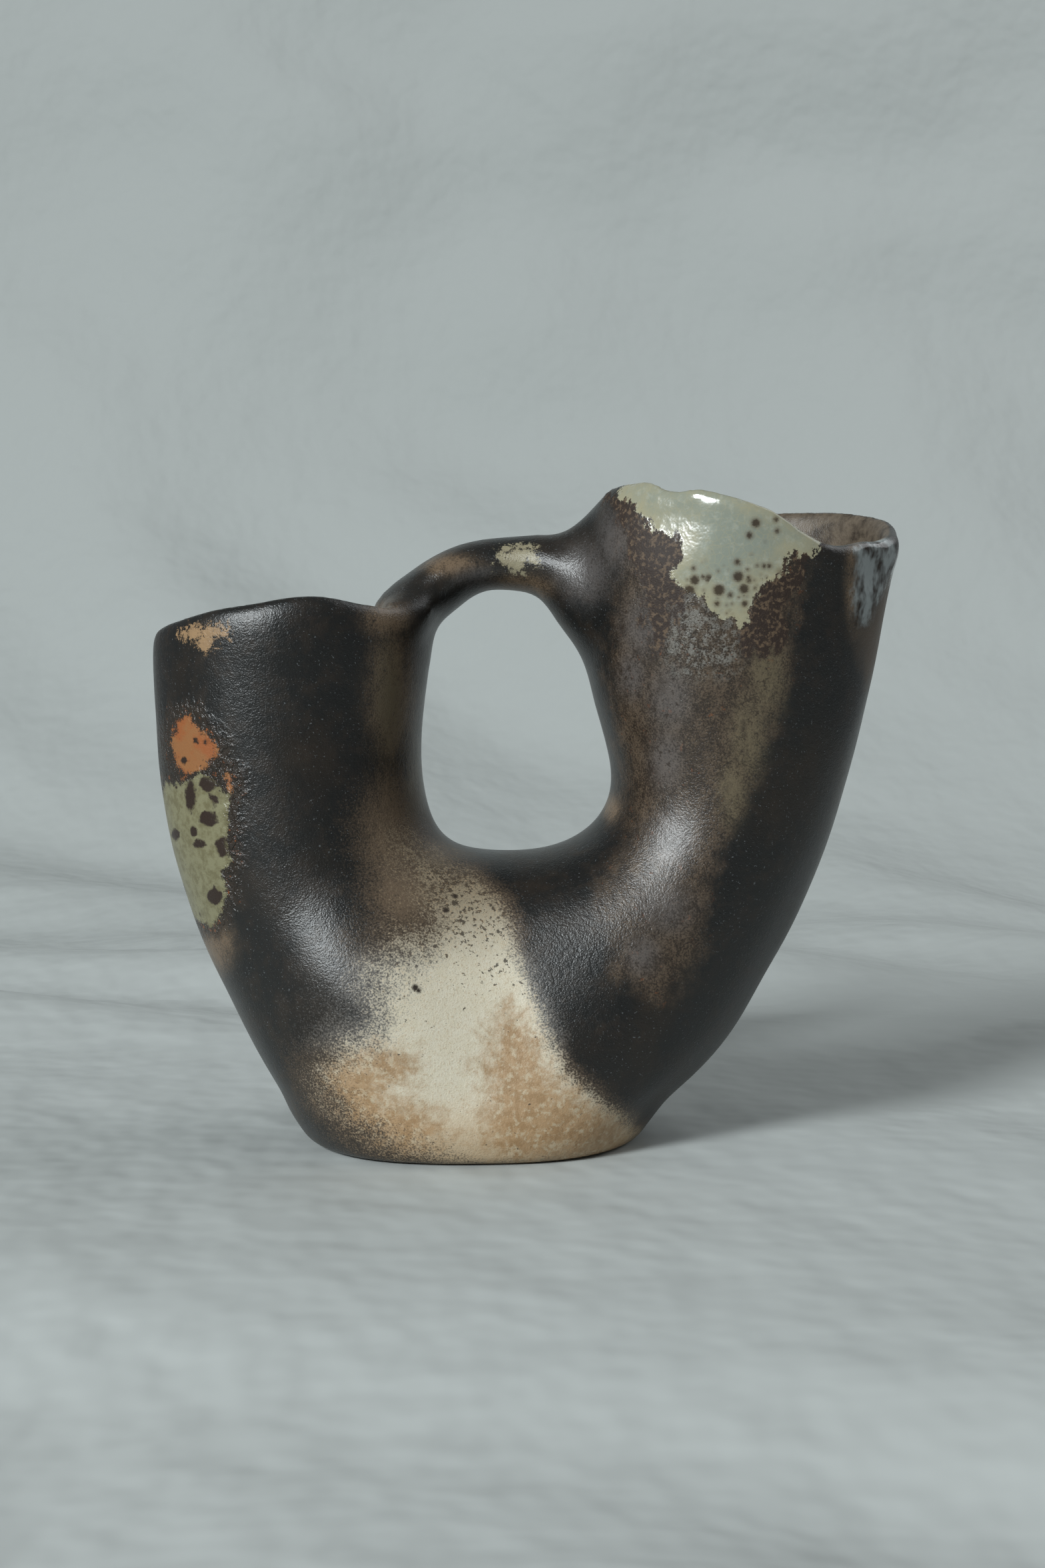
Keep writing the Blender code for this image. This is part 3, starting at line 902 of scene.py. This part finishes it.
    def finish(self):
        """Hands the layers to the shader."""
        bump = self.tree.nodes.new("ShaderNodeBump")
        bump.inputs["Distance"].default_value = MM
        self.feed(bump.inputs["Height"], self.relief)
        self.feed(self.shader.inputs["Normal"], bump.outputs[0])
        self.feed(self.shader.inputs["Base Color"], self.colour)
        self.feed(self.shader.inputs["Roughness"], self.roughness)
        return self.material


def smoked_clay(paint):
    """Charcoal clay with brown clouds and fine painted glints: light dots that stand in for sparkles of
    light.
    """
    colour = paint.mix(paint.step(paint.large, start=0.48, full=0.68), CHARCOAL, SOOT)
    broken = paint.blend(share=0.4, under=paint.medium, over=paint.small)
    blotch = paint.step(broken, start=0.44, full=0.66)
    colour = paint.mix(paint.part(blotch, most=0.55), colour, UMBER)
    behind = paint.step(paint.depth, start=0, full=25)
    behind = paint.times(behind, paint.step(paint.large, start=0.42, full=0.66))
    dusty = paint.blend(share=0.5, under=paint.medium, over=paint.fine)
    cloud = paint.times(behind, paint.step(dusty, start=0.40, full=0.62))
    colour = paint.mix(paint.part(cloud, most=0.7), colour, BROWN)
    # Painted glints: tiny light dots in the colour that stand in for sparkles of light
    painted_glint = paint.step(paint.mottle(size=0.5, detail=1), start=0.68, full=0.74)
    paint.colour = paint.mix(paint.part(painted_glint, most=0.7), colour, PAINTED_GLINT)
    paint.roughness = paint.blend(paint.medium, BRIGHT_SMOKE, DULL_SMOKE)


def soft_bloom(paint, name, mottling, colour, most):
    """A soft bloom of colour that breaks up into mottles as it fades."""
    strength = paint.times(paint.mark(name), paint.scaled(mottling, factor=4.0, added=-1.0))
    share = paint.part(paint.step(strength, start=0.05, full=1.1), most)
    paint.cover(share, colour, HAZE_SHEEN)


def brown_haze(paint):
    """Mottled brown and lilac-grey ash haze down the leaning neck, and blooms elsewhere; the lilac-grey is
    partly ash tint and partly painted sheen.
    """
    runs = paint.mottle(size=3.5, detail=6, rough=0.78, stretch=(1, 1, 1.8))
    speckle = paint.blend(share=0.5, under=runs, over=paint.fine)
    share = paint.ragged(paint.mark("haze"), paint.medium, reach=14, soft=4)
    colour = paint.mix(paint.step(speckle, start=0.41, full=0.61), UMBER, BROWN)
    fleck = paint.step(paint.mottle(size=2.4, detail=4, rough=0.7), start=0.63, full=0.68)
    colour = paint.mix(paint.part(fleck, most=0.35), colour, RUST)
    paint.cover(paint.part(share, most=0.85), colour, HAZE_SHEEN)
    soft_bloom(paint, "brown", speckle, WARM_BROWN, most=0.9)
    soft_bloom(paint, "olive", speckle, OLIVE, most=0.85)
    # The lilac-grey blooms are partly ash tint and partly painted sheen
    soft_bloom(paint, "lilac", speckle, LILAC_ASH_AND_SHEEN, most=0.6)
    blotch = paint.step(paint.mottle(size=6, detail=5, rough=0.72), start=0.50, full=0.66)
    paint.cover(paint.times(blotch, paint.part(share, most=0.55)), UMBER, PIT_SHEEN)
    pit = paint.step(paint.mottle(size=1.6, detail=4, rough=0.7), start=0.56, full=0.66)
    paint.cover(paint.times(pit, paint.part(share, most=0.85)), UMBER, PIT_SHEEN)


def flame_patch(paint, pits):
    """Cream clay that the smoke spared, toasted tan in places, with brown and stippled edges, grey at mid
    height where a painted sheen is laid.
    """
    depth = paint.scaled(paint.mark("spared"), factor=0.5, added=0.5)
    stipple = paint.scaled(paint.fine, factor=1.5, added=-0.75)
    wander = paint.scaled(paint.medium, factor=0.6, added=-0.3)
    reached = paint.plus(depth, paint.plus(stipple, wander))
    # Between these heights the flame's edge turns grey: painted sheen of the lobe's highlight
    edge = paint.mix(paint.step(paint.height, start=24, full=34), BROWN, SHEEN_GREY)
    edge = paint.mix(paint.step(paint.height, start=46, full=56), edge, BROWN)
    paint.cover(paint.part(paint.step(reached, start=-0.2, full=0.6), most=0.7), edge, EDGE_SHEEN)
    colour = paint.mix(paint.small, CREAM_CLAY, PALE_CLAY)
    low = paint.step(paint.height, start=22, full=2)
    colour = paint.mix(paint.part(low, most=0.75), colour, BISCUIT)
    crumbs = paint.mottle(size=3.2, detail=6, rough=0.78)
    toast = paint.ragged(paint.mark("toast"), crumbs, reach=26, soft=6)
    toasted = paint.mix(paint.step(paint.small, start=0.42, full=0.56), GOLD, TAN)
    islands = paint.step(paint.mottle(size=1.8, detail=5, rough=0.75), start=0.50, full=0.64)
    toasted = paint.mix(paint.part(islands, most=0.65), toasted, CREAM_CLAY)
    colour = paint.mix(paint.part(toast, most=0.9), colour, toasted)
    upper = paint.step(paint.height, start=44, full=66)
    colour = paint.mix(paint.part(upper, most=0.9), colour, SMOKED_CREAM)
    more_above = paint.part(paint.step(paint.height, start=24, full=70), most=0.16)
    grains = paint.plus(paint.mottle(size=1.3, detail=3, rough=0.7), more_above)
    speck = paint.step(grains, start=0.68, full=0.72)
    colour = paint.mix(paint.part(speck, most=0.85), colour, UMBER)
    freckle = paint.step(paint.fine, start=0.52, full=0.72)
    colour = paint.mix(paint.part(freckle, most=0.4), colour, TAN)
    paint.cover(paint.step(reached, start=0.3, full=0.95), colour, DRY_CLAY)
    pitted = paint.ragged(paint.dots(pits, -FAR), paint.fine, reach=1.0, soft=0.4)
    paint.cover(pitted, UMBER, DRY_CLAY)


def left_patches(paint):
    """Orange flash and sage-green ash on the upright neck, eaten by brown blobs."""
    orange = paint.mark("orange")
    sage = paint.mark("sage")
    patches = paint.greater(orange, sage)
    crumbs = paint.mottle(size=3.5, detail=5, rough=0.7)
    crumbs = paint.blend(share=0.3, under=crumbs, over=paint.fine)
    crust = paint.ragged(paint.plus(patches, CRUST_WIDTH), crumbs, reach=10, soft=1.5)
    rusty = paint.step(paint.mottle(size=1.6, detail=4, rough=0.7), start=0.60, full=0.70)
    paint.cover(paint.part(crust, most=0.85), paint.mix(rusty, UMBER, RUST), CRUST_SHEEN)
    colour = paint.mix(paint.step(paint.medium, start=0.4, full=0.6), RUST, APRICOT)
    flash = paint.ragged(paint.less(orange, ORANGE_TRIM), crumbs, reach=11, soft=0.5)
    paint.cover(flash, colour, DRY_CLAY)
    colour = paint.mix(paint.step(paint.small, start=0.35, full=0.6), MOSS, SAGE_GREEN)
    paint.cover(paint.ragged(sage, crumbs, reach=8, soft=0.3), colour, CRUST_SHEEN)
    eaten = paint.greater(paint.mark("spots"), paint.scattered(size=4.5, keep=0.18, largest=1.4))
    spots = paint.ragged(eaten, paint.small, reach=2.4, soft=0.3)
    on_patch = paint.step(patches, start=-1.0, full=1.0)
    paint.cover(paint.times(spots, on_patch), BURNT, SPOT_SHEEN)


def glaze_veil(paint):
    """A thin grey lace of ash below the glaze."""
    lace = paint.blend(share=0.4, under=paint.small, over=paint.fine)
    lace = paint.step(lace, start=0.46, full=0.60)
    veil = paint.ragged(paint.mark("veil"), paint.medium, reach=12, soft=4)
    paint.cover(paint.times(veil, paint.part(lace, most=0.75)), VEIL_GREY, CRUST_SHEEN)


def scorched_edge(paint):
    """Burnt clay around the glaze, which runs down in drips."""
    embers = paint.step(paint.mottle(size=1.1, detail=3, rough=0.6), start=0.49, full=0.64)
    drips = paint.mottle(size=4.5, detail=5, rough=0.65, stretch=(1, 1, 2))
    drips = paint.blend(share=0.25, under=drips, over=paint.fine)
    scorched = paint.ragged(paint.mark("scorch"), drips, reach=26, soft=1.2)
    paint.cover(scorched, paint.mix(embers, BURNT, EMBER), SCORCHED_CLAY)


def ash_glaze(paint, dropped):
    """Crackled celadon ash glaze on the pointed lip, with a straw-coloured edge and brown drops."""
    depth = paint.mark("glaze")
    clouds = paint.mottle(size=5, detail=5, rough=0.7)
    thick = paint.ragged(paint.less(depth, GLAZE_EDGE), clouds, reach=14, soft=7)
    colour = paint.mix(thick, STRAW, CELADON)
    milk = paint.step(paint.mottle(size=2.6, detail=5, rough=0.7), start=0.50, full=0.68)
    colour = paint.mix(paint.part(milk, most=0.4), colour, MILK)
    crack = paint.step(paint.crackle(size=1.9), start=0.07, full=0.0)
    colour = paint.mix(paint.part(crack, most=0.35), colour, STRAW)
    large = paint.scattered(size=3.4, keep=0.5, largest=1.0)
    specks = paint.greater(large, paint.scattered(size=2.1, keep=0.35, largest=0.55))
    low = paint.step(paint.height, start=150, full=140)
    drops = paint.dots(dropped, paint.plus(specks, paint.less(low, 1.0)))
    halo = paint.step(drops, start=-1.1, full=0.2)
    colour = paint.mix(paint.part(halo, most=0.5), colour, EMBER)
    core = paint.ragged(drops, paint.fine, reach=1.0, soft=0.4)
    colour = paint.mix(paint.part(core, most=0.8), colour, BURNT)
    runs = paint.mottle(size=3.2, detail=5, rough=0.65, stretch=(1, 1, 1.5))
    jagged = paint.blend(share=0.2, under=runs, over=paint.fine)
    paint.cover(paint.ragged(depth, jagged, reach=13, soft=0.25), colour, GLAZE_GLOSS)


def small_marks(paint):
    """Cream dabs on the bridge and the left lip, a brown strip, and the glassy drip at the right tip."""
    dabs = paint.mottle(size=2.0, detail=6, rough=0.8)
    dabs = paint.ragged(paint.mark("cream"), dabs, reach=16, soft=0.5)
    colour = paint.mix(paint.step(paint.height, start=134, full=136), TAN, STRAW)
    colour = paint.mix(paint.part(paint.small, most=0.7), colour, BROWN)
    paint.cover(dabs, colour, SPOT_SHEEN)
    strip = paint.ragged(paint.mark("strip"), paint.medium, reach=4, soft=2.5)
    paint.cover(paint.part(strip, most=0.8), BROWN, DRY_CLAY)
    pools = paint.mottle(size=5, detail=3, rough=0.6, stretch=(1, 1, 1.6))
    glass = paint.mix(paint.step(pools, start=0.42, full=0.66), GLASS, UMBER)
    paint.cover(paint.ragged(paint.mark("drip"), paint.small, reach=5, soft=1.4), glass, GLASS_GLOSS)


def inner_clay(paint):
    """Tan mottled clay inside the necks."""
    mottling = paint.mottle(size=5, detail=5, rough=0.7)
    colour = paint.mix(paint.step(mottling, start=0.36, full=0.72), WALL_TAN, UMBER)
    paint.cover(paint.mark("inner"), colour, DRY_CLAY)


def clay_relief(paint):
    """Grain and dents of the clay, a pitted crust around the left patches, and ripples in the glaze."""
    grain = paint.times(paint.fine, GRAIN_DEPTH)
    pebbles = paint.scaled(paint.mottle(size=1.4, detail=2), PEBBLE_DEPTH, grain)
    clay = paint.scaled(paint.mottle(size=3.5, detail=2), DENT_DEPTH, pebbles)
    around = paint.greater(paint.mark("orange"), paint.mark("sage"))
    rim = paint.times(paint.step(around, start=-6, full=-1), paint.step(around, start=2, full=-1))
    pits = paint.step(paint.mottle(size=1.5, detail=2), start=0.40, full=0.60)
    clay = paint.scaled(rim, paint.times(pits, CRUST_DEPTH), clay)
    ripples = paint.times(paint.mottle(size=2.2, detail=2), RIPPLE_DEPTH)
    glassy = paint.greater(paint.mark("glaze"), paint.mark("drip"))
    paint.relief = paint.blend(paint.step(glassy, start=-0.5, full=0.5), clay, ripples)


def fired_clay(dropped, pits):
    """The whole fired skin, layer upon layer."""
    paint = Paint("fired_clay")
    smoked_clay(paint)
    brown_haze(paint)
    flame_patch(paint, pits)
    left_patches(paint)
    glaze_veil(paint)
    scorched_edge(paint)
    ash_glaze(paint, dropped)
    small_marks(paint)
    inner_clay(paint)
    clay_relief(paint)
    return paint.finish()


def folded(place):
    """A place on the cloth, moved by its soft folds."""
    fold = noise.noise(Vector((place[0] + place[1], place[1] - place[2], place[2])) / FOLD_WIDTH)
    away = min(1.0, math.hypot(place[0], place[1]) / FLAT_CLOTH) ** 2
    return Vector(place) + Vector((0, -1, 1)) * fold * FOLD_DEPTH * away


def cloth_rows():
    """The cloth's rows along y and z: over the floor, round the bend and up behind the vase."""
    rows = [(CLOTH_FRONT + (CLOTH_BEND - CLOTH_FRONT) * k / CLOTH_STEPS, 0.0) for k in range(CLOTH_STEPS)]
    for k in range(CLOTH_STEPS + 1):
        angle = math.pi / 2 * k / CLOTH_STEPS
        rows.append((CLOTH_BEND + CLOTH_ROUND * math.sin(angle), CLOTH_ROUND * (1 - math.cos(angle))))
    back = CLOTH_BEND + CLOTH_ROUND
    rise = CLOTH_TOP - CLOTH_ROUND
    rows.extend((back, CLOTH_ROUND + rise * k / CLOTH_STEPS) for k in range(1, CLOTH_STEPS + 1))
    return rows


def crinkled_linen():
    """The pale material of the cloth."""
    material = bpy.data.materials.new("cloth")
    material.use_nodes = True
    tree = material.node_tree
    shader = tree.nodes["Principled BSDF"]
    shader.inputs["Base Color"].default_value = LINEN
    shader.inputs["Roughness"].default_value = CLOTH_ROUGHNESS
    crinkles = tree.nodes.new("ShaderNodeTexNoise")
    crinkles.inputs["Scale"].default_value = 1 / CRINKLE
    bump = tree.nodes.new("ShaderNodeBump")
    bump.inputs["Distance"].default_value = CRINKLE_DEPTH
    tree.links.new(crinkles.outputs["Fac"], bump.inputs["Height"])
    tree.links.new(bump.outputs["Normal"], shader.inputs["Normal"])
    return material


def studio():
    """A pale cloth under and behind the vase."""
    bm = bmesh.new()
    lines = []
    for y, z in cloth_rows():
        places = [(CLOTH_WIDTH * (k / CLOTH_STEPS - 0.5), y, z) for k in range(CLOTH_STEPS + 1)]
        lines.append([bm.verts.new(folded(place)) for place in places])
    for low, high in zip(lines, lines[1:]):
        for k in range(CLOTH_STEPS):
            bm.faces.new((low[k], low[k + 1], high[k + 1], high[k]))
    cloth = new_object("cloth", to_mesh(bm, "cloth"))
    cloth.data.shade_smooth()
    cloth.data.materials.append(crinkled_linen())


def add_lamp(name, lamp):
    """A soft square light that faces a point."""
    light = bpy.data.lights.new(name, "AREA")
    light.size = lamp.size
    light.energy = lamp.power
    light.color = lamp.colour
    thing = new_object(name, light)
    thing.location = lamp.at
    thing.rotation_euler = (Vector(lamp.target) - Vector(lamp.at)).to_track_quat("-Z", "Y").to_euler()


def lights():
    """Soft window light from the upper left, a weak fill and the pale room."""
    add_lamp("window", WINDOW)
    add_lamp("fill", FILL)
    world = bpy.data.worlds.new("studio")
    bpy.context.scene.world = world
    world.use_nodes = True
    room = world.node_tree.nodes["Background"]
    room.inputs["Color"].default_value = ROOM_COLOUR
    room.inputs["Strength"].default_value = ROOM_STRENGTH
    bpy.context.scene.view_settings.view_transform = "Standard"


def camera():
    """The camera at the photograph's viewpoint."""
    data = bpy.data.cameras.new("camera")
    data.lens = LENS_MM
    data.sensor_width = FILM_MM
    data.clip_start = NEAR_CLIP
    thing = new_object("camera", data)
    thing.location = CAMERA_AT
    thing.rotation_euler = (math.radians(90 - CAMERA_PITCH), 0, 0)
    bpy.context.scene.camera = thing


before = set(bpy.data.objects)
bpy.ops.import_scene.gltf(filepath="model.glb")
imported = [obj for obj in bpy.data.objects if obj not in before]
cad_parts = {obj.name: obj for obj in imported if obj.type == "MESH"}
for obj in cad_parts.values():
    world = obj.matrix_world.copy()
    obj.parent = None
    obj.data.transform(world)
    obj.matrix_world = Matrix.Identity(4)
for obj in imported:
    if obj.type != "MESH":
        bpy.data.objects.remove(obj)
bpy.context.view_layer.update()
body = fired_body(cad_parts)
add_marks(body.data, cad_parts)
dropped = placed_drops(body.data, DROPS)
pits = placed_drops(body.data, PITS)
body.data.materials.append(fired_clay(dropped, pits))
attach(body, "root")
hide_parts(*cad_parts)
camera()
studio()
lights()
